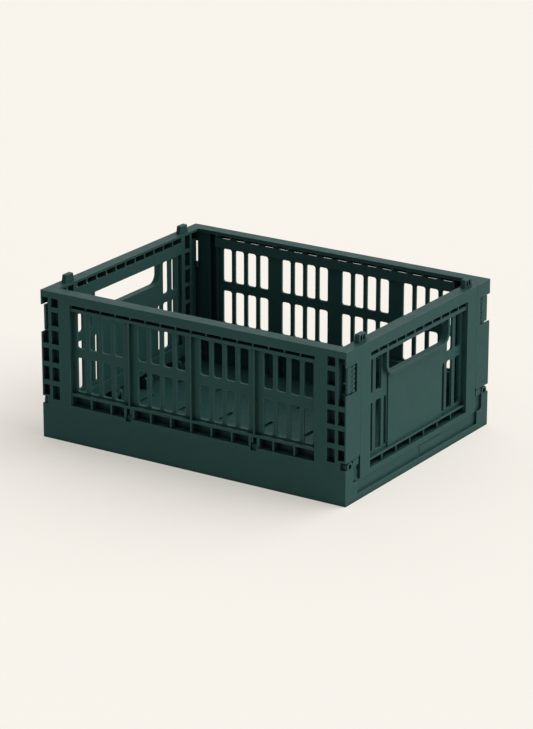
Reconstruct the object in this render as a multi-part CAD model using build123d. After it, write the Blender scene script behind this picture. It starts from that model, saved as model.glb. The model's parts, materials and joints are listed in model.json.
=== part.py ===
from build123d import *
import os

# Folding storage crate in moulded polypropylene, in millimetres.
# +X runs along the length, +Y across the width, +Z up; the origin is the centre of the underside.
# Five mouldings and four latch tongues: a tray, two long sides, two end sides and a tongue at each corner.

# ---- overall size, standing open ----
LENGTH = 345.0
WIDTH = 265.0
RIM_HEIGHT = 150.0           # floor to the flat top of the rim, without the stacking lugs
LUG_HEIGHT = 8.0

# ---- wall sections ----
SKIN = 2.5                   # show faces and rims
PANEL = 2.0                  # slotted fields
RIB = 1.5                    # thin dividing ribs
SHELF = 2.5                  # shelves above and below the slotted fields
SLOT_CORNER = 2.5
ROUND_SHORT = 0.05           # a slot's round end stops this short of a full half circle
SEAM = 0.5                   # gap between two mouldings that move past each other
CLEAR = 0.3                  # closest that two mouldings pass without touching
PIN = 5.0                    # hinge pin diameter
PIN_FIT = 0.05               # radial clearance of a hinge pin in its bearing
SNAP_MOUTH = 4.2             # mouth that a pin is pushed through into its bearing

# ---- tray ----
TRAY_WALL = 3.0
TRAY_LONG_HEIGHT = 35.0
TRAY_END_HEIGHT = 19.5
TRAY_END_RECESS = 2.6        # tray end wall behind the outer plane of the crate
TRAY_LEDGE_HEIGHT = 6.75
POCKET_CORNER = 3.5          # rounding of the step that the corner return swings into
SLIT_WIDTH = 2.0             # slit beside the end side's post
SLIT_DEPTH = 6.0
FLOOR_BOTTOM = 3.0
FLOOR = 2.5
FLOOR_RING = 9.0             # width of the ring that the tray stands on
FLOOR_BAYS = 7               # bays between the ribs under the floor
DRAIN = (5.0, 24.0)          # drain slot, along X and along Y
DRAIN_ROWS = 3

# ---- long side ----
LONG_RIM_DEPTH = 13.0
LONG_SKIRT = 9.5             # outer skirt of the rim, down from its top
LONG_LIP = 3.6               # inner lip of the rim, down from its top
LONG_INNER_TOP = 6.6         # top of the wall behind the upper pockets, down from the rim
LONG_RECESS = 5.5            # slotted field behind the outer plane
LONG_POST_DEPTH = 9.5
LONG_POST = 22.0             # celled part of a corner post, along X
LONG_BAR = 12.0              # plain bar beside it
LONG_BAYS = 4
LONG_BAY_LAP = 3.5           # the outer bays run this far in behind the plain bars
LONG_BAY_BAR = 12.2          # plain width of a bay, shared by its two edges
LONG_SLOTS = 4               # slots across a bay
LONG_SLOT_RIB = 4.3
LONG_SLOT_HEAD = 18.5        # top of the slots, down from the rim
LONG_SLOT_FOOT = 17.0        # bottom of the slots, up from the tray wall
LONG_BRIDGE = 9.5            # band between the two rows of slots
LONG_HEAD_SHELF = 13.5       # top of the upper shelf, down from the rim
LONG_HEAD_POCKETS = 16
LONG_FOOT_SHELF = 13.0       # underside of the lower shelf, up from the tray wall
LONG_FOOT_POCKETS = 12
LONG_FOOT_RAIL = 2.7
POST_HEAD = 6.5              # top of the first cells of a post, down from the rim
POST_FIRST = 9.2             # height of the first cells
POST_FOOT = 5.9              # bottom of the last cells, up from the tray wall
POST_ROWS = 5                # rows of cells below the first
POST_RIB = 4.6
POST_CELL_BACK = 2.2
POST_OUTER_CELL = (8.9, 1.5)     # from the outer end, along X
POST_INNER_CELL = (20.8, 12.0)
RETURN = 2.3                 # corner return that laps round onto the end face
RETURN_WIDTH = 25.0
RETURN_CORNER = 4.0          # rounding of the return's lower inner corner
LONG_AXIS_INSET = 7.5        # long side's hinge axis behind the outer plane
LONG_AXIS_RISE = 2.5         # and above the tray wall
LONG_EAR = 4.6               # radius of the tray's bearings for the long sides
LONG_EAR_WIDTH = 6.0         # bearing ear in each corner, along X
LONG_HINGE_WIDTH = 6.0       # bearing block between the bays, along X

# ---- end side ----
END_DEPTH = 12.0
END_RECESS = 6.0
END_SKIRT = 11.6             # outer skirt of the rim, down from its top
END_HEAD_SHELF = 16.4        # top of the upper shelf, down from the rim
END_HEAD_SHELF_HEIGHT = 3.4
END_INNER_TOP = 8.0          # top of the wall behind the upper pockets, down from the rim
END_HEAD_POCKETS = 11
END_POST = 17.3
END_CELLS = 7
END_CELL_WIDTH = 9.0
END_CELL_RIB = 3.0
HANDLE_MARGIN = 34.2         # hand hole from the posts
HANDLE_HEIGHT = 22.7
HANDLE_CORNER = 10.0
HANDLE_COLLAR = 3.0
CENTRE_MARGIN = 39.7         # raised centre panel from the posts
CENTRE_PROUD = 1.2
END_SLOT = 10.3
END_SLOT_AT = (8.4, 23.7)    # centres of the slots from the posts
END_SLOT_HEAD = 22.0         # top of the upper slots, down from the rim
END_SLOT_UPPER = 34.0        # height of the upper slots
END_BRIDGE = 9.0             # band between the upper and lower slots
END_SLOT_FOOT = 3.0          # bottom of the lower slots, up from the lower shelf
END_NARROW_SLOT = (1.5, 6.5)     # from the centre panel
END_FOOT_SHELF = 11.5        # underside of the lower shelf, up from the tray end wall
END_FOOT_SHELF_HEIGHT = 2.0
END_FOOT_POCKETS = 7
END_FOOT_RAIL = 4.5
END_AXIS_INSET = 10.5        # end side's hinge axis behind the outer plane
END_AXIS_HEIGHT = 14.0
END_HINGES = 4
END_HINGE_MARGIN = 11.7      # outer hinges from the posts
END_KNUCKLE = (7.0, 5.0)     # along X, along Y
END_BEARING = 3.0
END_BEARING_RADIUS = 4.5
END_TAB = 12.0               # edge tab that laps behind the corner return
END_TAB_THICKNESS = 3.0
END_TAB_HEAD = 11.0          # top of the tab, down from the rim
END_TAB_INSET = 5.8          # outer face of the tab behind the outer plane
END_TAIL_DROP = 1.0          # top of the tab's thick foot, down from the underside of the return
LUG_INSET = 9.5              # centre of a lug from the edge of the end side
LUG_BASE = 14.0
LUG_TOP = 10.5
LUG_DEPTH = 5.0
LUG_SETBACK = 4.5
LUG_ROOM = 0.8               # clearance round a lug in its socket
LUG_HEADROOM = 1.0

# ---- latch ----
LATCH_HEAD = 14.6            # top of the window, down from the rim
LATCH_HEIGHT = 27.8
LATCH_INSET = 6.5            # window starts this far from the edge of the return
TONGUE_THICKNESS = 2.2
TONGUE_WIDTH = 12.2
TONGUE_SIDE_GAP = 2.5        # open strip beside the tongue
TONGUE_GAP = 1.2             # gap above and below the tongue
TONGUE_RECESS = 0.9
TRUNNION = 2.0
TRUNNION_LENGTH = 2.6
LATCH_BOSS = 5.4
GRIP_RIDGES = 6
GRIP_RIDGE = 1.8
GRIP_WIDTH = 4.2
GRIP_PROUD = 0.8
HOOK_THICKNESS = 2.0
HOOK_HEIGHT = 6.0
HOOK_ROOM = 2.0              # the tab is cut back this far above and below the hook
HOOK_NOSE = 2.6              # along X
HOOK_REACH = 1.6             # along Y, towards the tab

HALF_L = LENGTH / 2
HALF_W = WIDTH / 2
TRAY_END_OUT = HALF_L - TRAY_END_RECESS
TRAY_END_IN = TRAY_END_OUT - SKIN

LONG_AXIS_Y = HALF_W - LONG_AXIS_INSET
LONG_AXIS_HEIGHT = TRAY_LONG_HEIGHT + LONG_AXIS_RISE
LONG_INNER = HALF_W - LONG_RIM_DEPTH
LONG_BOTTOM = TRAY_LONG_HEIGHT + CLEAR
POST_START = HALF_L - LONG_POST               # where the celled part of a corner post starts
BAR_START = POST_START - LONG_BAR
LONG_BAY = 2 * (BAR_START + LONG_BAY_LAP) / LONG_BAYS
LONG_SLOT_PITCH = (LONG_BAY - LONG_BAY_BAR) / LONG_SLOTS
LONG_HEAD = RIM_HEIGHT - LONG_HEAD_SHELF      # floor of the upper pockets
LONG_FOOT = TRAY_LONG_HEIGHT + LONG_FOOT_SHELF    # roof of the lower pockets
LONG_HINGE_AT = (-LONG_BAY, LONG_BAY)
RETURN_EDGE = HALF_W - RETURN_WIDTH
RETURN_BOTTOM = LONG_AXIS_HEIGHT + LONG_EAR + SEAM

END_AXIS_X = HALF_L - END_AXIS_INSET
END_INNER = HALF_L - END_DEPTH
END_HALF = RETURN_EDGE - SEAM                 # half width of an end side without its tabs
END_OPEN = END_HALF - END_POST                # half width between its posts
LUG_Y = END_HALF - LUG_INSET
END_BOTTOM = TRAY_END_HEIGHT + 2 * SEAM
END_HEAD = RIM_HEIGHT - END_HEAD_SHELF        # floor of the upper pockets
END_FOOT = TRAY_END_HEIGHT + END_FOOT_SHELF   # roof of the lower pockets
TAB_OUT = HALF_L - END_TAB_INSET
TAB_IN = TAB_OUT - END_TAB_THICKNESS

LATCH_TOP = RIM_HEIGHT - LATCH_HEAD
LATCH_BOTTOM = LATCH_TOP - LATCH_HEIGHT
LATCH_MIDDLE = (LATCH_BOTTOM + LATCH_TOP) / 2
HOOK_Z = (LATCH_BOTTOM + TONGUE_GAP, LATCH_BOTTOM + TONGUE_GAP + HOOK_HEIGHT)
TONGUE_AXIS_X = HALF_L - TONGUE_RECESS - TONGUE_THICKNESS / 2
TONGUE_AXIS_Y = RETURN_EDGE + LATCH_INSET + TONGUE_SIDE_GAP + TONGUE_THICKNESS / 2
HOOK_Y = TONGUE_AXIS_Y + TONGUE_THICKNESS / 2     # inner face of the hook's arm


def span(x, y, z):
    """Box between two corners, each axis given as (low, high)."""
    box = Box(x[1] - x[0], y[1] - y[0], z[1] - z[0], align=(Align.MIN, Align.MIN, Align.MIN))
    return Pos(x[0], y[0], z[0]) * box


def rod_x(x, y, z, radius):
    return Pos(sum(x) / 2, y, z) * Rot(0, 90, 0) * Cylinder(radius, x[1] - x[0])


def rod_y(x, y, z, radius):
    return Pos(x, sum(y) / 2, z) * Rot(-90, 0, 0) * Cylinder(radius, y[1] - y[0])


def window(width, height, corner, depth):
    """Prism with rounded corners, centred on the origin, its depth along Y."""
    return Rot(90, 0, 0) * extrude(RectangleRounded(width, height, corner), depth / 2, both=True)


def row(count, pitch):
    """Centred positions of an evenly spaced row."""
    return [(i - (count - 1) / 2) * pitch for i in range(count)]


def both(value):
    return (-value, value)


def bearing_cut_x(x, y, z):
    """Pin bore along X with a snap mouth open upwards."""
    bore = PIN / 2 + PIN_FIT
    mouth = span(x, (y - SNAP_MOUTH / 2, y + SNAP_MOUTH / 2), (z, z + 2 * PIN))
    return [rod_x(x, y, z, bore), mouth]


def bearing_cut_y(x, y, z):
    """Pin bore along Y with a snap mouth open upwards."""
    bore = PIN / 2 + PIN_FIT
    mouth = span((x - SNAP_MOUTH / 2, x + SNAP_MOUTH / 2), y, (z, z + 2 * PIN))
    return [rod_y(x, y, z, bore), mouth]


# ---- tray ----

def tray_floor():
    """Floor plate with drain slots, on a standing ring and cross ribs."""
    ring_x, ring_y = TRAY_END_IN - FLOOR_RING, HALF_W - TRAY_WALL - FLOOR_RING
    bay = 2 * TRAY_END_IN / FLOOR_BAYS
    plate = span(both(TRAY_END_OUT), both(HALF_W), (FLOOR_BOTTOM, FLOOR_BOTTOM + FLOOR))
    drains = [
        Pos(x, y, FLOOR_BOTTOM) * extrude(RectangleRounded(*DRAIN, DRAIN[0] / 2 - ROUND_SHORT), FLOOR)
        for x in row(FLOOR_BAYS, bay)
        for y in row(DRAIN_ROWS, WIDTH / (DRAIN_ROWS + 1))
    ]
    ring = span(both(TRAY_END_OUT), both(HALF_W), (0, FLOOR_BOTTOM))
    ring -= span(both(ring_x), both(ring_y), (0, FLOOR_BOTTOM))
    rib_z = (0, FLOOR_BOTTOM)
    ribs = [span((x - SKIN / 2, x + SKIN / 2), both(ring_y), rib_z) for x in row(FLOOR_BAYS - 1, bay)]
    return plate - drains + ring + ribs


def tray_walls():
    walls = [span(both(HALF_L), side, (0, TRAY_LONG_HEIGHT)) for side in
             ((-HALF_W, -HALF_W + TRAY_WALL), (HALF_W - TRAY_WALL, HALF_W))]
    for sign in (-1, 1):
        face = sorted((sign * TRAY_END_IN, sign * TRAY_END_OUT))
        lip = sorted((sign * TRAY_END_IN, sign * HALF_L))
        walls.append(span(face, both(HALF_W), (0, TRAY_END_HEIGHT)))
        walls.append(span(lip, both(HALF_W), (0, TRAY_LEDGE_HEIGHT)))
    return walls


def tray_corner():
    """Corner block at +X +Y: face plate stepped for the swinging return, upright web and bearing ear."""
    ear_start = HALF_L - LONG_EAR_WIDTH
    block_edge = LONG_AXIS_Y - LONG_EAR
    plate_edge = RETURN_EDGE + 2 * SLIT_WIDTH
    corners = [
        (plate_edge, 0), (HALF_W, 0), (HALF_W, TRAY_LONG_HEIGHT), (block_edge, TRAY_LONG_HEIGHT),
        (block_edge, TRAY_END_HEIGHT), (plate_edge, TRAY_END_HEIGHT),
    ]
    outline = make_face(Polyline(*corners, close=True))
    step = outline.vertices().sort_by_distance((block_edge, TRAY_END_HEIGHT))[0]
    plate = Pos(TRAY_END_OUT, 0, 0) * extrude(Plane.YZ * fillet(step, POCKET_CORNER), TRAY_END_RECESS)
    face = (TRAY_END_IN, TRAY_END_OUT)
    web = span(face, (RETURN_EDGE, HALF_W - TRAY_WALL), (0, TRAY_LONG_HEIGHT))
    slit = (RETURN_EDGE, RETURN_EDGE + SLIT_WIDTH)
    web -= span(face, slit, (TRAY_LONG_HEIGHT - SLIT_DEPTH, TRAY_LONG_HEIGHT))
    block = span((ear_start, HALF_L), (block_edge, HALF_W), (0, TRAY_LONG_HEIGHT))
    ear = rod_x((ear_start, HALF_L), LONG_AXIS_Y, LONG_AXIS_HEIGHT, LONG_EAR)
    neck = span((ear_start, HALF_L), (block_edge, LONG_AXIS_Y + LONG_EAR), (0, LONG_AXIS_HEIGHT))
    corner = plate + web + block + ear + neck
    return corner - rod_x((ear_start, HALF_L), LONG_AXIS_Y, LONG_AXIS_HEIGHT, PIN / 2 + PIN_FIT)


def at_corners(shape):
    """The same shape at all four corners of the crate."""
    pair = [shape, mirror(shape, about=Plane.XZ)]
    return pair + [mirror(s, about=Plane.YZ) for s in pair]


def at_ends(shape):
    return [shape, mirror(shape, about=Plane.YZ)]


def at_sides(shape):
    return [shape, mirror(shape, about=Plane.XZ)]


def end_hinges():
    """Positions of an end side's hinges along Y."""
    return row(END_HINGES, 2 * (END_OPEN - END_HINGE_MARGIN) / (END_HINGES - 1))


def end_bearings():
    """Pairs of bearing plates for the knuckles of the end side at +X."""
    inner = END_KNUCKLE[1] / 2 + CLEAR
    x = (END_AXIS_X - END_BEARING_RADIUS, TRAY_END_IN)
    pieces = []
    for y in end_hinges():
        for low in (y - inner - END_BEARING, y + inner):
            reach = (low, low + END_BEARING)
            plate = span(x, reach, (FLOOR_BOTTOM, END_AXIS_HEIGHT))
            plate += rod_y(END_AXIS_X, reach, END_AXIS_HEIGHT, END_BEARING_RADIUS)
            pieces.append(plate - bearing_cut_y(END_AXIS_X, reach, END_AXIS_HEIGHT))
    return pieces


def long_bearings():
    """Bearing blocks on the tray's long wall at +Y."""
    pieces = []
    for x in LONG_HINGE_AT:
        reach = (x - LONG_HINGE_WIDTH / 2, x + LONG_HINGE_WIDTH / 2)
        low = LONG_AXIS_Y - LONG_EAR
        block = span(reach, (low, HALF_W - TRAY_WALL / 2), (FLOOR_BOTTOM, LONG_AXIS_HEIGHT))
        block += rod_x(reach, LONG_AXIS_Y, LONG_AXIS_HEIGHT, LONG_EAR)
        block -= span(reach, (HALF_W - TRAY_WALL, HALF_W), (TRAY_LONG_HEIGHT, RETURN_BOTTOM))
        pieces.append(block - bearing_cut_x(reach, LONG_AXIS_Y, LONG_AXIS_HEIGHT))
    return pieces


def lug_sockets():
    """Sockets in the underside that drop over the lugs of the crate below."""
    half = LUG_BASE / 2 + LUG_ROOM
    x = (HALF_L - LUG_SETBACK - LUG_DEPTH - LUG_ROOM, HALF_L - LUG_SETBACK + LUG_ROOM)
    y = LUG_Y
    height = LUG_HEIGHT + LUG_HEADROOM
    outside = span((x[0] - RIB, x[1]), (y - half - RIB, y + half + RIB), (0, height + RIB))
    return outside, span(x, (y - half, y + half), (0, height))


def tray():
    socket, hollow = lug_sockets()
    body = tray_floor() + tray_walls() + at_corners(tray_corner())
    for shape in end_bearings():
        body += at_ends(shape)
    for shape in long_bearings():
        body += at_sides(shape)
    body += at_corners(socket)
    return body - at_corners(hollow)


# ---- long side, modelled at +Y ----

def long_field():
    """Slotted field with its dividers, and the rows of deep pockets above and below it."""
    out = HALF_W - LONG_RECESS
    proud = (out, HALF_W - RIB)
    deep = (LONG_INNER, HALF_W - RIB)
    back = (LONG_INNER, LONG_INNER + PANEL)
    wide = both(BAR_START + RIB)
    low, high = TRAY_LONG_HEIGHT + LONG_SLOT_FOOT, RIM_HEIGHT - LONG_SLOT_HEAD
    slot_height = (high - low - LONG_BRIDGE) / 2
    slot = window(LONG_SLOT_PITCH - LONG_SLOT_RIB, slot_height, SLOT_CORNER, 4 * PANEL)
    field = span(wide, (out - PANEL, out), (LONG_FOOT, LONG_HEAD))
    field -= [
        Pos(bay + x, out, z) * slot
        for bay in row(LONG_BAYS, LONG_BAY)
        for x in row(LONG_SLOTS, LONG_SLOT_PITCH)
        for z in (low + slot_height / 2, high - slot_height / 2)
    ]
    bars = [
        span(wide, deep, (LONG_HEAD - SHELF, LONG_HEAD)),
        span(wide, back, (LONG_HEAD - SHELF, RIM_HEIGHT - LONG_INNER_TOP)),
        span(wide, deep, (LONG_FOOT, LONG_FOOT + SHELF)),
        span(wide, back, (LONG_BOTTOM, LONG_FOOT + SHELF)),
        span(wide, (LONG_INNER, HALF_W), (LONG_BOTTOM, LONG_BOTTOM + LONG_FOOT_RAIL)),
    ]
    for x in row(LONG_BAYS - 1, LONG_BAY):
        bars.append(span((x - RIB / 2, x + RIB / 2), proud, (LONG_FOOT, LONG_HEAD)))
    under_rim = (LONG_HEAD, RIM_HEIGHT - SKIN)
    for x in row(LONG_HEAD_POCKETS + 1, 2 * BAR_START / LONG_HEAD_POCKETS):
        bars.append(span((x - RIB / 2, x + RIB / 2), (LONG_INNER, HALF_W - SKIN), under_rim))
    for x in row(LONG_FOOT_POCKETS + 1, 2 * BAR_START / LONG_FOOT_POCKETS):
        bars.append(span((x - RIB / 2, x + RIB / 2), deep, (LONG_BOTTOM, LONG_FOOT)))
    return field + bars


def long_rim():
    top = span(both(HALF_L), (LONG_INNER, HALF_W), (RIM_HEIGHT - SKIN, RIM_HEIGHT))
    skirt = span(both(POST_START), (HALF_W - SKIN, HALF_W), (RIM_HEIGHT - LONG_SKIRT, RIM_HEIGHT))
    lip = span(both(END_INNER - SEAM), (LONG_INNER, LONG_INNER + RIB), (RIM_HEIGHT - LONG_LIP, RIM_HEIGHT))
    return top + [skirt, lip]


def long_bar():
    """Plain bar between the field and the celled post: a channel open to the inside, at +X."""
    inner = HALF_W - LONG_POST_DEPTH
    bar = span((BAR_START, POST_START), (inner, HALF_W), (LONG_BOTTOM, RIM_HEIGHT))
    hollow = (LONG_BOTTOM + PIN + SKIN, RIM_HEIGHT - SKIN)
    return bar - span((BAR_START + PANEL, POST_START - PANEL), (inner, HALF_W - SKIN), hollow)


def long_post():
    """Celled corner post with the return that laps onto the end face, at +X."""
    inner = HALF_W - LONG_POST_DEPTH
    ear_start = HALF_L - LONG_EAR_WIDTH - CLEAR
    post = span((POST_START, HALF_L), (inner, HALF_W), (LONG_BOTTOM, RIM_HEIGHT))
    post -= span((ear_start, HALF_L), (inner, HALF_W), (TRAY_LONG_HEIGHT, RETURN_BOTTOM))
    flange = span((HALF_L - RETURN, HALF_L), (RETURN_EDGE, HALF_W), (RETURN_BOTTOM, RIM_HEIGHT))
    corner = flange.edges().filter_by(Axis.X).group_by(Axis.Z)[0].sort_by(Axis.Y)[0]
    post += fillet(corner, RETURN_CORNER)
    post += span((END_INNER, HALF_L), (RETURN_EDGE, HALF_W), (RIM_HEIGHT - SKIN, RIM_HEIGHT))
    first = RIM_HEIGHT - POST_HEAD - POST_FIRST
    pitch = (first - TRAY_LONG_HEIGHT - POST_FOOT) / POST_ROWS
    rows = [(first, first + POST_FIRST)]
    rows += [(first - (i + 1) * pitch, first - i * pitch - POST_RIB) for i in range(POST_ROWS)]
    for start, end in (POST_INNER_CELL, POST_OUTER_CELL):
        x = (HALF_L - start, HALF_L - end)
        lowest = RETURN_BOTTOM + RIB if x[1] > ear_start else LONG_BOTTOM
        post -= [span(x, (inner + POST_CELL_BACK, HALF_W), (max(low, lowest), high)) for low, high in rows]
    return post


def latch_window():
    """Window through the return and out through the outer cells of the corner, at +X +Y."""
    x = (HALF_L - POST_OUTER_CELL[0], HALF_L)
    return span(x, (RETURN_EDGE + LATCH_INSET, HALF_W), (LATCH_BOTTOM, LATCH_TOP))


def trunnion_bosses():
    """Bosses above and below the window that carry the tongue's trunnions."""
    half = LATCH_BOSS / 2
    x = (TONGUE_AXIS_X - half + RIB / 2, HALF_L)
    y = (TONGUE_AXIS_Y - half, TONGUE_AXIS_Y + half)
    bosses = [span(x, y, (LATCH_TOP, LATCH_TOP + half)), span(x, y, (LATCH_BOTTOM - half, LATCH_BOTTOM))]
    bore = Pos(TONGUE_AXIS_X, TONGUE_AXIS_Y, LATCH_MIDDLE) * Cylinder(
        TRUNNION / 2 + PIN_FIT, LATCH_TOP - LATCH_BOTTOM + 2 * TRUNNION_LENGTH)
    return bosses, bore


def long_hinge_pins():
    """Notches over the tray's bearings, the cheeks beside them and the pins across."""
    cuts, adds = [], []
    high = LONG_AXIS_HEIGHT + LONG_EAR + SEAM
    for x in LONG_HINGE_AT:
        half = LONG_HINGE_WIDTH / 2 + CLEAR
        gap = (x - half, x + half)
        cuts.append(span(gap, (LONG_INNER, HALF_W), (TRAY_LONG_HEIGHT, high)))
        for cheek in ((gap[0] - SKIN, gap[0]), (gap[1], gap[1] + SKIN)):
            block = span(cheek, (LONG_INNER, HALF_W - RIB), (LONG_AXIS_HEIGHT, LONG_FOOT))
            adds.append(block + rod_x(cheek, LONG_AXIS_Y, LONG_AXIS_HEIGHT, LONG_EAR - SEAM))
        adds.append(rod_x((gap[0] - SKIN, gap[1] + SKIN), LONG_AXIS_Y, LONG_AXIS_HEIGHT, PIN / 2))
    return cuts, adds


def long_side():
    body = long_rim() + long_field()
    body += at_ends(long_bar()) + at_ends(long_post())
    window_cut = latch_window()
    bosses, bore = trunnion_bosses()
    body -= at_ends(window_cut)
    for boss in bosses:
        body += at_ends(boss)
    body -= at_ends(bore)
    cuts, adds = long_hinge_pins()
    body = body - cuts + adds
    reach = (HALF_L - LONG_EAR_WIDTH - SKIN, HALF_L - SKIN)
    end_pin = rod_x(reach, LONG_AXIS_Y, LONG_AXIS_HEIGHT, PIN / 2)
    return body + at_ends(end_pin)


# ---- end side, modelled at +X ----

def end_field():
    """Slotted field with the raised centre panel and the hand hole."""
    out = HALF_L - END_RECESS
    centre = END_OPEN - CENTRE_MARGIN
    handle = END_OPEN - HANDLE_MARGIN
    top = END_HEAD - END_HEAD_SHELF_HEIGHT
    bottom = top - HANDLE_HEIGHT
    foot = END_FOOT + END_FOOT_SHELF_HEIGHT
    field = span((out - SKIN, out), both(END_OPEN + RIB), (END_FOOT, END_HEAD))
    field += span((out - SKIN, out + CENTRE_PROUD), both(centre), (foot, top))
    collar = HANDLE_CORNER + HANDLE_COLLAR
    reach = (out - SKIN, HALF_L - RIB)
    field += hand_hole(handle + HANDLE_COLLAR, bottom - HANDLE_COLLAR, top, collar, reach)
    cuts = [hand_hole(handle, bottom, top, HANDLE_CORNER, (out - 2 * SKIN, HALF_L))]
    head = RIM_HEIGHT - END_SLOT_HEAD
    lower = (foot + END_SLOT_FOOT, head - END_SLOT_UPPER - END_BRIDGE)
    for low, high in (lower, (head - END_SLOT_UPPER, head)):
        for margin in END_SLOT_AT:
            for y in both(END_OPEN - margin):
                cuts.append(end_slot(y, END_SLOT, low, high, out))
    narrow = END_NARROW_SLOT[1] - END_NARROW_SLOT[0]
    for y in both(centre + sum(END_NARROW_SLOT) / 2):
        cuts.append(end_slot(y, narrow, *lower, out))
    return field - cuts


def end_slot(y, width, low, high, out):
    corner = min(SLOT_CORNER, width / 2 - ROUND_SHORT)
    slot = Rot(0, 0, 90) * window(width, high - low, corner, 4 * SKIN)
    return Pos(out - SKIN / 2, y, (low + high) / 2) * slot


def hand_hole(half, bottom, top, corner, reach):
    """Prism of the hand hole's outline: large corners below, small ones above."""
    outline = Plane.YZ * Pos(0, (bottom + top) / 2) * Rectangle(2 * half, top - bottom)
    lower = outline.vertices().group_by(Axis.Z)[0]
    outline = fillet(lower, corner)
    return Pos(reach[0], 0, 0) * extrude(outline, reach[1] - reach[0])


def end_posts():
    """Upright posts with a column of cells open to the inside and the tab behind the return."""
    post = span((END_INNER, HALF_L), (END_OPEN, END_HALF), (END_BOTTOM, RIM_HEIGHT))
    middle = (END_OPEN + END_HALF) / 2 + RIB
    cell_y = (middle - END_CELL_WIDTH / 2, middle + END_CELL_WIDTH / 2)
    pitch = (RIM_HEIGHT - SKIN - END_BOTTOM) / END_CELLS
    for i in range(END_CELLS):
        low = END_BOTTOM + i * pitch
        post -= span((END_INNER, HALF_L - SKIN), cell_y, (low + END_CELL_RIB, low + pitch))
    edge = END_HALF + END_TAB
    tab_z = (RETURN_BOTTOM + SEAM, RIM_HEIGHT - END_TAB_HEAD)
    tab = span((TAB_IN, TAB_OUT), (END_HALF - SKIN, edge), tab_z)
    tail_z = (TRAY_LONG_HEIGHT + 2 * CLEAR, RETURN_BOTTOM - END_TAIL_DROP)
    tail = span((TAB_IN, HALF_L - SEAM), (RETURN_EDGE + SLIT_WIDTH, edge), tail_z)
    tail += span((TAB_IN, TAB_OUT), (END_HALF - SKIN, edge), (tail_z[0], tab_z[0]))
    notch_edge = HOOK_Y - HOOK_REACH - CLEAR
    notch = (HOOK_Z[0] - HOOK_ROOM, HOOK_Z[1] + HOOK_ROOM)
    tab = tab + tail - span((TAB_IN, TAB_OUT), (notch_edge, edge), notch)
    return post + tab


def end_rim():
    """Rim box: outer skirt, top and inner wall, with pockets open outwards below and inwards above."""
    wide = both(END_OPEN + RIB)
    shelf = (END_HEAD - END_HEAD_SHELF_HEIGHT, END_HEAD)
    pieces = [
        span((END_INNER, HALF_L), both(END_HALF), (RIM_HEIGHT - SKIN, RIM_HEIGHT)),
        span((HALF_L - SKIN, HALF_L), wide, (RIM_HEIGHT - END_SKIRT, RIM_HEIGHT)),
        span((END_INNER, END_INNER + PANEL), wide, (shelf[0], RIM_HEIGHT - END_INNER_TOP)),
        span((END_INNER, HALF_L - RIB), wide, shelf),
    ]
    for y in row(END_HEAD_POCKETS + 1, 2 * END_OPEN / END_HEAD_POCKETS):
        pieces.append(span((END_INNER, HALF_L - RIB), (y - RIB / 2, y + RIB / 2), (END_HEAD, RIM_HEIGHT)))
    return pieces


def end_foot():
    """Bottom rail with its row of deep pockets."""
    wide = both(END_OPEN + RIB)
    shelf = (END_FOOT, END_FOOT + END_FOOT_SHELF_HEIGHT)
    deep = (END_INNER, HALF_L - SKIN)
    pieces = [
        span((END_INNER, HALF_L), wide, (END_BOTTOM, END_BOTTOM + END_FOOT_RAIL)),
        span((END_INNER, END_INNER + PANEL), wide, (END_BOTTOM, shelf[1])),
        span(deep, wide, shelf),
    ]
    for y in row(END_FOOT_POCKETS + 1, 2 * END_OPEN / END_FOOT_POCKETS):
        pieces.append(span(deep, (y - RIB / 2, y + RIB / 2), (END_BOTTOM, END_FOOT)))
    return pieces


def end_knuckles():
    length, width = END_KNUCKLE
    x = (END_AXIS_X - length / 2, END_AXIS_X + length / 2)
    pins = width / 2 + CLEAR + END_BEARING
    pieces = []
    for y in end_hinges():
        reach = (y - width / 2, y + width / 2)
        pieces.append(span(x, reach, (END_AXIS_HEIGHT, END_BOTTOM + SKIN)))
        pieces.append(rod_y(END_AXIS_X, reach, END_AXIS_HEIGHT, length / 2))
        pieces.append(rod_y(END_AXIS_X, (y - pins, y + pins), END_AXIS_HEIGHT, PIN / 2))
    return pieces


def lug():
    """Stacking lug on the rim above a post, with two pockets in its outer face."""
    x = (HALF_L - LUG_SETBACK - LUG_DEPTH, HALF_L - LUG_SETBACK)
    y = LUG_Y
    half, top = LUG_BASE / 2, LUG_TOP / 2
    outline = Polyline((-half, 0), (half, 0), (top, LUG_HEIGHT), (-top, LUG_HEIGHT), close=True)
    block = Pos(x[0], y, RIM_HEIGHT) * extrude(Plane.YZ * make_face(outline), LUG_DEPTH)
    pocket = (LUG_TOP - 3 * RIB) / 2
    pocket_z = (RIM_HEIGHT + RIB, RIM_HEIGHT + LUG_HEIGHT - RIB)
    for low in (y - RIB / 2 - pocket, y + RIB / 2):
        block -= span((x[0] + RIB, x[1]), (low, low + pocket), pocket_z)
    return block


def end_side():
    body = end_field() + end_rim() + end_foot() + end_knuckles()
    body += at_sides(end_posts())
    return body + at_sides(lug())


# ---- latch tongue, modelled at +X +Y ----

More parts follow.
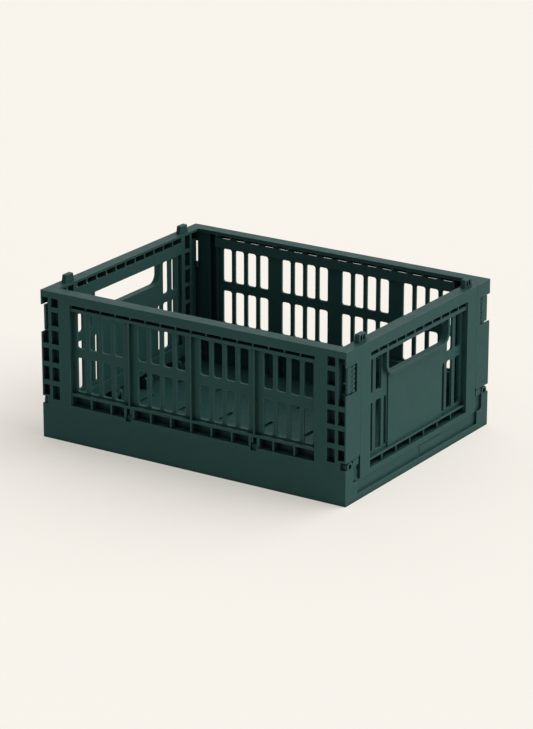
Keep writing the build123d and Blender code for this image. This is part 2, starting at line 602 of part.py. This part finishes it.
def latch_tongue():
    """Sprung tongue on an upright axis, with a ribbed grip and a hook behind the end side's tab."""
    half = TONGUE_THICKNESS / 2
    low, high = LATCH_BOTTOM + TONGUE_GAP, LATCH_TOP - TONGUE_GAP
    edge = TONGUE_AXIS_Y + TONGUE_WIDTH - half
    outer = TONGUE_AXIS_X + half
    plate = span((TONGUE_AXIS_X - half, outer), (TONGUE_AXIS_Y, edge), (low, high))
    root_height = LATCH_TOP - LATCH_BOTTOM - 2 * CLEAR
    root = Pos(TONGUE_AXIS_X, TONGUE_AXIS_Y, LATCH_MIDDLE) * Cylinder(half, root_height)
    pin_height = LATCH_TOP - LATCH_BOTTOM + 2 * (TRUNNION_LENGTH - CLEAR)
    trunnions = Pos(TONGUE_AXIS_X, TONGUE_AXIS_Y, LATCH_MIDDLE) * Cylinder(TRUNNION / 2, pin_height)
    grip_y = (TONGUE_AXIS_Y, TONGUE_AXIS_Y + GRIP_WIDTH)
    first = low + GRIP_RIDGE / 2
    step = (high - low - GRIP_RIDGE) / (GRIP_RIDGES - 1)
    ridges = [
        span((outer, outer + GRIP_PROUD), grip_y, (z - GRIP_RIDGE / 2, z + GRIP_RIDGE / 2))
        for z in (first + i * step for i in range(GRIP_RIDGES))
    ]
    nose_x = (TAB_IN - CLEAR - HOOK_NOSE, TAB_IN - CLEAR)
    arm = span((nose_x[0], TONGUE_AXIS_X), (HOOK_Y, HOOK_Y + HOOK_THICKNESS), HOOK_Z)
    nose = span(nose_x, (HOOK_Y - HOOK_REACH, HOOK_Y + HOOK_THICKNESS), HOOK_Z)
    return plate + root + trunnions + ridges + arm + nose


def half_turn(shape):
    """The same moulding at the opposite side of the crate, as two mirrorings, which make a half turn."""
    return mirror(mirror(shape, about=Plane.XZ), about=Plane.YZ)


def pieces():
    side_long = long_side()
    side_end = end_side()
    tongue = latch_tongue()
    left = mirror(tongue, about=Plane.YZ)
    return {
        "base_tray": tray(),
        "long_side_back": side_long,
        "long_side_front": half_turn(side_long),
        "end_side_right": side_end,
        "end_side_left": half_turn(side_end),
        "latch_tongue_back_right": tongue,
        "latch_tongue_back_left": left,
        "latch_tongue_front_right": half_turn(left),
        "latch_tongue_front_left": half_turn(tongue),
    }


os.makedirs("parts", exist_ok=True)
for name, shape in pieces().items():
    solids = shape.solids()
    print(name, len(solids), "solid(s)", round(sum(solid.volume for solid in solids) / 1000, 1), "cm3")
    export_step(solids[0] if len(solids) == 1 else shape, f"parts/{name}.step")
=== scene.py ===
import json
import math

import bmesh
import bpy
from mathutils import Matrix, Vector


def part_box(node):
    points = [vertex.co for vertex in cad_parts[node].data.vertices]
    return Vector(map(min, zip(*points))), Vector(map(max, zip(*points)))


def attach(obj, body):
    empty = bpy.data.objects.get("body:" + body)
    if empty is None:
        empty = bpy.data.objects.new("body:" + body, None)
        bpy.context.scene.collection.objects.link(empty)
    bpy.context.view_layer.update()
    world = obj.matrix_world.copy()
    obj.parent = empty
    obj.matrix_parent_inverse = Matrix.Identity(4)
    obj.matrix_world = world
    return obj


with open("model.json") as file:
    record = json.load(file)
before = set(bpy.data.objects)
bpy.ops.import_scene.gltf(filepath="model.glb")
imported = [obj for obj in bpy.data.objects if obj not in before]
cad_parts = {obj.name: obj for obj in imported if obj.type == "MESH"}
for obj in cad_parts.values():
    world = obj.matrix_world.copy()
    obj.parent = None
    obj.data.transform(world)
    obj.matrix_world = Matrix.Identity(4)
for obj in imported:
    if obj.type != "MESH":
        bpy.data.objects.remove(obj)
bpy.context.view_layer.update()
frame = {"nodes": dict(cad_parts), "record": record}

MM = 0.001
NODES = frame["nodes"]
BODY_OF = {node: body for body, nodes in frame["record"]["behaviour"]["bodies"].items() for node in nodes}

# The camera stands where one sees an end face and a long face together, from above the rim.
CAMERA_AZIMUTH = -57.0
CAMERA_ELEVATION = 19.1
CAMERA_DISTANCE = 3.11
CAMERA_LENS = 158
LOOK_AT = Vector((0.0, 0.0, 0.068))

EDGE_RADIUS = 0.35 * MM
TRAY_END_RECESS = 2.6 * MM       # the tray's end wall stands this far inside the crate's outer plane
FLOOR_BOTTOM = 3.0 * MM
BLANK_PLATE = (1.0 * MM, 42 * MM, 7 * MM)
PLATE_ASIDE = 26 * MM            # a plate's centre from the middle of the end wall
PLATE_HEIGHT = 13 * MM           # and above the ground
PLATE_EDGE = 0.3 * MM
GATE_SPACING = 96 * MM
GATE_ASIDE = 33 * MM
GATE_RADIUS = 2.2 * MM
GATE_DEPTH = 0.6 * MM

ROOM_STRENGTH = 0.40
BACKDROP_STRENGTH = 1.1
BACKDROP_ELEVATION = 16.0
WINDOW_AZIMUTH = 40
WINDOW_ELEVATION = 40
WINDOW_STRENGTH = 2.8
WINDOW_SPREAD = 75               # degrees across, which softens the shadows
# strength of the floor paper's painted glow, which lifts the shadows on it
PAINTED_FLOOR_GLOW = 0.40
FLOOR_HALF = 14.0


# ---- materials ----

GREEN = "#284A48"
GREEN_SHADE = "#244341"
# pale edge colour, partly handling wear and partly painted highlight
GREEN_RUB_AND_HIGHLIGHT = "#56807C"
# painted shade colour for enclosed cells and pockets
GREEN_PAINTED_SHADE = "#10201F"
PAPER = "#BDB9B4"
# colour of the floor's painted glow
PAINTED_GLOW_COLOUR = "#FFFBF3"
ROOM_LIGHT = "#FFFDFA"

POLYPROPYLENE_IOR = 1.49
SHEEN = 0.08
SMOOTHEST = 0.46 - 0.05
ROUGHEST = 0.46 + 0.07
GRAIN_STRENGTH = 0.25
GRAIN_DEPTH = 0.12 * MM
GRAIN_MM = 0.9
LATCH_GRAIN_MM = 0.6
FLOW_MM = 60                     # drift of colour where the melt flowed
SCUFF_MM = 9
SINK_MM = 35                     # shallow waves where the wall sank as it cooled
SINK_STRENGTH = 0.12
SINK_DEPTH = 1.2 * MM
RUB_AND_HIGHLIGHT_WIDTH = 0.9 * MM             # how far the paler edge reaches in from a corner: handling wear and painted highlight
RECESS_DEPTH = 9 * MM            # walls nearer than this count as enclosing, for the painted shade in cells and pockets
TOOTH_MM = 3
TOOTH_STRENGTH = 0.02
TOOTH_DEPTH = 0.1 * MM

def linear(hex_colour):
    """sRGB hex to the linear colour that shaders use."""
    parts = [int(hex_colour[i:i + 2], 16) / 255 for i in (1, 3, 5)]
    return tuple(c / 12.92 if c <= 0.04045 else ((c + 0.055) / 1.055) ** 2.4 for c in parts) + (1.0,)


def add(tree, kind, inputs=None, **settings):
    """Adds a node. An input may be a value or another node's output socket."""
    node = tree.nodes.new(kind)
    for name, value in settings.items():
        setattr(node, name, value)
    for name, value in (inputs or {}).items():
        if isinstance(value, bpy.types.NodeSocket):
            tree.links.new(value, node.inputs[name])
        else:
            node.inputs[name].default_value = value
    return node


def per_mm(size):
    """Noise scale whose features are about this many millimetres across."""
    return 1 / (size * MM)


def new_material(name):
    material = bpy.data.materials.new(name)
    material.use_nodes = True
    tree = material.node_tree
    tree.nodes.clear()
    return material, tree


def moulded_polypropylene(name, grain_mm):
    """Polypropylene coloured in the mass and injection moulded in a spark-textured tool.

    The tool leaves a fine matte grain, the colour drifts a little where the melt flowed, and corners
    and edges are paler in patches, partly as handling wear and partly as painted highlight. Cells and
    pockets get painted shade, coloured darker the more they are enclosed, since the real ones read
    nearly black. The grain is drawn coarser than a real tool's, which is about 0.1 mm.
    """
    material, tree = new_material(name)
    place = add(tree, "ShaderNodeTexCoord").outputs["Object"]
    flow = add(tree, "ShaderNodeTexNoise", {
        "Vector": place, "Scale": per_mm(FLOW_MM), "Detail": 3.0, "Roughness": 0.55})
    colour_mix = add(tree, "ShaderNodeMixRGB", {
        "Fac": flow.outputs["Fac"], "Color1": linear(GREEN_SHADE), "Color2": linear(GREEN)})
    # paler edges in patches: partly handling wear, partly painted highlight on the edges
    rounded = add(tree, "ShaderNodeBevel", {"Radius": RUB_AND_HIGHLIGHT_WIDTH}, samples=4)
    flat = add(tree, "ShaderNodeNewGeometry")
    turn = add(tree, "ShaderNodeVectorMath", {0: rounded.outputs["Normal"], 1: flat.outputs["Normal"]},
               operation="DOT_PRODUCT")
    edge = add(tree, "ShaderNodeMapRange", {
        "Value": turn.outputs["Value"], "From Min": 0.995, "From Max": 0.80, "To Min": 0.0, "To Max": 1.0})
    scuff = add(tree, "ShaderNodeTexNoise", {"Vector": place, "Scale": per_mm(SCUFF_MM), "Detail": 4.0})
    rub_and_highlight = add(tree, "ShaderNodeMath", {0: edge.outputs["Result"], 1: scuff.outputs["Fac"]},
                 operation="MULTIPLY")
    worn_and_highlit = add(tree, "ShaderNodeMixRGB", {
        "Fac": rub_and_highlight.outputs["Value"], "Color1": colour_mix.outputs["Color"], "Color2": linear(GREEN_RUB_AND_HIGHLIGHT)})
    # painted shade: the colour darkens the more nearby walls enclose a spot
    open_sky = add(tree, "ShaderNodeAmbientOcclusion", {"Distance": RECESS_DEPTH}, samples=6)
    painted_shade = add(tree, "ShaderNodeMapRange", {
        "Value": open_sky.outputs["AO"], "From Min": 0.25, "From Max": 0.75, "To Min": 1.0, "To Max": 0.0})
    colour = add(tree, "ShaderNodeMixRGB", {
        "Fac": painted_shade.outputs["Result"], "Color1": worn_and_highlit.outputs["Color"], "Color2": linear(GREEN_PAINTED_SHADE)})
    tool_grain = add(tree, "ShaderNodeTexNoise", {
        "Vector": place, "Scale": per_mm(grain_mm), "Detail": 2.0, "Roughness": 0.6})
    sink = add(tree, "ShaderNodeTexNoise", {"Vector": place, "Scale": per_mm(SINK_MM), "Detail": 1.0})
    waves = add(tree, "ShaderNodeBump", {
        "Height": sink.outputs["Fac"], "Strength": SINK_STRENGTH, "Distance": SINK_DEPTH})
    bump = add(tree, "ShaderNodeBump", {
        "Height": tool_grain.outputs["Fac"], "Strength": GRAIN_STRENGTH, "Distance": GRAIN_DEPTH,
        "Normal": waves.outputs["Normal"]})
    gloss = add(tree, "ShaderNodeMapRange", {
        "Value": scuff.outputs["Fac"], "From Min": 0.3, "From Max": 0.7,
        "To Min": SMOOTHEST, "To Max": ROUGHEST})
    shader = add(tree, "ShaderNodeBsdfPrincipled", {
        "Base Color": colour.outputs["Color"], "Roughness": gloss.outputs["Result"], "IOR": POLYPROPYLENE_IOR,
        "Specular IOR Level": SHEEN, "Normal": bump.outputs["Normal"]})
    add(tree, "ShaderNodeOutputMaterial", {"Surface": shader.outputs["BSDF"]})
    return material


def studio_paper():
    """Matt paper with no gloss and a trace of tooth, and a painted glow that keeps its shadows faint.

    The painted glow stops under the tray, which keeps the drain slots dark.
    """
    material, tree = new_material("studio_paper")
    place = add(tree, "ShaderNodeTexCoord").outputs["Object"]
    tooth = add(tree, "ShaderNodeTexNoise", {"Vector": place, "Scale": per_mm(TOOTH_MM)})
    bump = add(tree, "ShaderNodeBump", {
        "Height": tooth.outputs["Fac"], "Strength": TOOTH_STRENGTH, "Distance": TOOTH_DEPTH})
    half_length, half_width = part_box("base_tray")[1][:2]
    from_middle = add(tree, "ShaderNodeVectorMath", {0: place}, operation="ABSOLUTE")
    share = add(tree, "ShaderNodeVectorMath", {
        0: from_middle.outputs["Vector"], 1: (1 / half_length, 1 / half_width, 0.0)}, operation="MULTIPLY")
    along = add(tree, "ShaderNodeSeparateXYZ", {"Vector": share.outputs["Vector"]})
    farther = add(tree, "ShaderNodeMath", {0: along.outputs["X"], 1: along.outputs["Y"]}, operation="MAXIMUM")
    # painted glow on the floor outside the tray's footprint, which lifts the shadows there
    beside = add(tree, "ShaderNodeMath", {0: farther.outputs["Value"], 1: 1.0}, operation="GREATER_THAN")
    glow = add(tree, "ShaderNodeMath", {0: beside.outputs["Value"], 1: PAINTED_FLOOR_GLOW}, operation="MULTIPLY")
    shader = add(tree, "ShaderNodeBsdfPrincipled", {
        "Base Color": linear(PAPER), "Roughness": 1.0, "Specular IOR Level": 0.0,
        "Emission Color": linear(PAINTED_GLOW_COLOUR), "Emission Strength": glow.outputs["Value"],
        "Normal": bump.outputs["Normal"]})
    add(tree, "ShaderNodeOutputMaterial", {"Surface": shader.outputs["BSDF"]})
    return material


def soften(piece):
    """Merges flat faces and gives every sharp edge the small radius of a moulding tool."""
    weld = piece.modifiers.new("weld", "WELD")
    weld.merge_threshold = 0.005 * MM
    planar = piece.modifiers.new("planar", "DECIMATE")
    planar.decimate_type = "DISSOLVE"
    planar.angle_limit = math.radians(1)
    soft = piece.modifiers.new("soft_edges", "BEVEL")
    soft.width = EDGE_RADIUS
    soft.segments = 2
    soft.limit_method = "ANGLE"
    soft.angle_limit = math.radians(40)
    soft.use_clamp_overlap = True
    shade = piece.modifiers.new("shade", "WEIGHTED_NORMAL")
    shade.keep_sharp = True


def dress_mouldings(mouldings, latches):
    """Gives every CAD moulding its soft edges and its polypropylene."""
    for name, piece in NODES.items():
        piece.data.materials.clear()
        piece.data.materials.append(latches if name.startswith("latch") else mouldings)
        soften(piece)


# ---- small moulded features ----

def moulded_piece(name, mesh, body, material):
    """A feature of a moulding as its own piece, which rides on that moulding's body."""
    piece = bpy.data.objects.new(name, mesh)
    bpy.context.scene.collection.objects.link(piece)
    mesh.materials.append(material)
    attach(piece, body)


def raised_plate(name, centre, size, body, material):
    """Plain raised plate with rounded edges, sunk a little into the wall behind it."""
    mesh = bpy.data.meshes.new(name)
    bm = bmesh.new()
    bmesh.ops.create_cube(bm, size=1.0)
    bmesh.ops.scale(bm, vec=size, verts=bm.verts)
    bmesh.ops.translate(bm, vec=centre, verts=bm.verts)
    bmesh.ops.bevel(bm, geom=bm.edges, offset=PLATE_EDGE, segments=3, affect="EDGES", profile=0.5)
    bm.to_mesh(mesh)
    bm.free()
    moulded_piece(name, mesh, body, material)


def gate_mark(name, centre, radius, body, material):
    """Round scar in the floor's underside where the melt entered the tool."""
    mesh = bpy.data.meshes.new(name)
    bm = bmesh.new()
    bmesh.ops.create_cone(
        bm, cap_ends=True, segments=32, radius1=radius * 0.8, radius2=radius, depth=GATE_DEPTH)
    bmesh.ops.translate(bm, vec=centre, verts=bm.verts)
    bm.to_mesh(mesh)
    bm.free()
    moulded_piece(name, mesh, body, material)


def small_features(material):
    """Blank plates on the tray's end walls and the gate marks under its floor."""
    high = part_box("base_tray")[1]
    body = BODY_OF["base_tray"]
    for side, name in ((1, "right"), (-1, "left")):
        wall = side * (high[0] - TRAY_END_RECESS)
        centre = (wall, side * PLATE_ASIDE, PLATE_HEIGHT)
        raised_plate("blank_plate_" + name, centre, BLANK_PLATE, body, material)
    for count, x in enumerate((-GATE_SPACING, 0.0, GATE_SPACING)):
        gate_mark("gate_mark_%d" % (count + 1), (x, GATE_ASIDE, FLOOR_BOTTOM), GATE_RADIUS, body, material)


# ---- studio ----

def studio():
    sheet = bpy.data.meshes.new("floor")
    half = FLOOR_HALF
    corners = [(-half, -half, 0), (half, -half, 0), (half, half, 0), (-half, half, 0)]
    sheet.from_pydata(corners, [], [(0, 1, 2, 3)])
    floor = bpy.data.objects.new("floor", sheet)
    bpy.context.scene.collection.objects.link(floor)
    floor.data.materials.append(studio_paper())


def place_on_sphere(thing, azimuth, elevation, distance, target):
    a, e = math.radians(azimuth), math.radians(elevation)
    offset = Vector((math.cos(e) * math.cos(a), math.cos(e) * math.sin(a), math.sin(e))) * distance
    thing.location = target + offset
    thing.rotation_euler = (-offset).to_track_quat("-Z", "Y").to_euler()


def sun(name, azimuth, elevation, strength, spread):
    """Even light from one direction, as from a wide window, with soft shadows."""
    light = bpy.data.lights.new(name, "SUN")
    light.energy = strength
    light.angle = math.radians(spread)
    lamp = bpy.data.objects.new(name, light)
    bpy.context.scene.collection.objects.link(lamp)
    place_on_sphere(lamp, azimuth, elevation, 3.0, LOOK_AT)


def studio_walls():
    """Dim room all round with a bright backdrop behind the crate, which gives the rims their sheen."""
    world = bpy.data.worlds.new("studio")
    world.use_nodes = True
    tree = world.node_tree
    tree.nodes.clear()
    a, e = math.radians(CAMERA_AZIMUTH + 180), math.radians(BACKDROP_ELEVATION)
    towards = (math.cos(e) * math.cos(a), math.cos(e) * math.sin(a), math.sin(e))
    direction = add(tree, "ShaderNodeTexCoord").outputs["Generated"]
    facing = add(tree, "ShaderNodeVectorMath", {0: direction, 1: towards}, operation="DOT_PRODUCT")
    strength = add(tree, "ShaderNodeMapRange", {
        "Value": facing.outputs["Value"], "From Min": 0.55, "From Max": 0.95,
        "To Min": ROOM_STRENGTH, "To Max": BACKDROP_STRENGTH}, interpolation_type="SMOOTHSTEP")
    glow = add(tree, "ShaderNodeBackground", {
        "Color": linear(ROOM_LIGHT), "Strength": strength.outputs["Result"]})
    add(tree, "ShaderNodeOutputWorld", {"Surface": glow.outputs["Background"]})
    bpy.context.scene.world = world


def lights():
    sun("window_light", WINDOW_AZIMUTH, WINDOW_ELEVATION, WINDOW_STRENGTH, WINDOW_SPREAD)
    studio_walls()
    bpy.context.scene.view_settings.view_transform = "Standard"


def camera():
    lens = bpy.data.cameras.new("camera")
    lens.lens = CAMERA_LENS
    lens.clip_end = 60
    holder = bpy.data.objects.new("camera", lens)
    bpy.context.scene.collection.objects.link(holder)
    place_on_sphere(holder, CAMERA_AZIMUTH, CAMERA_ELEVATION, CAMERA_DISTANCE, LOOK_AT)
    bpy.context.scene.camera = holder


mouldings = moulded_polypropylene("moulded_polypropylene", GRAIN_MM)
latches = moulded_polypropylene("latch_polypropylene", LATCH_GRAIN_MM)
dress_mouldings(mouldings, latches)
small_features(mouldings)
studio()
lights()
camera()
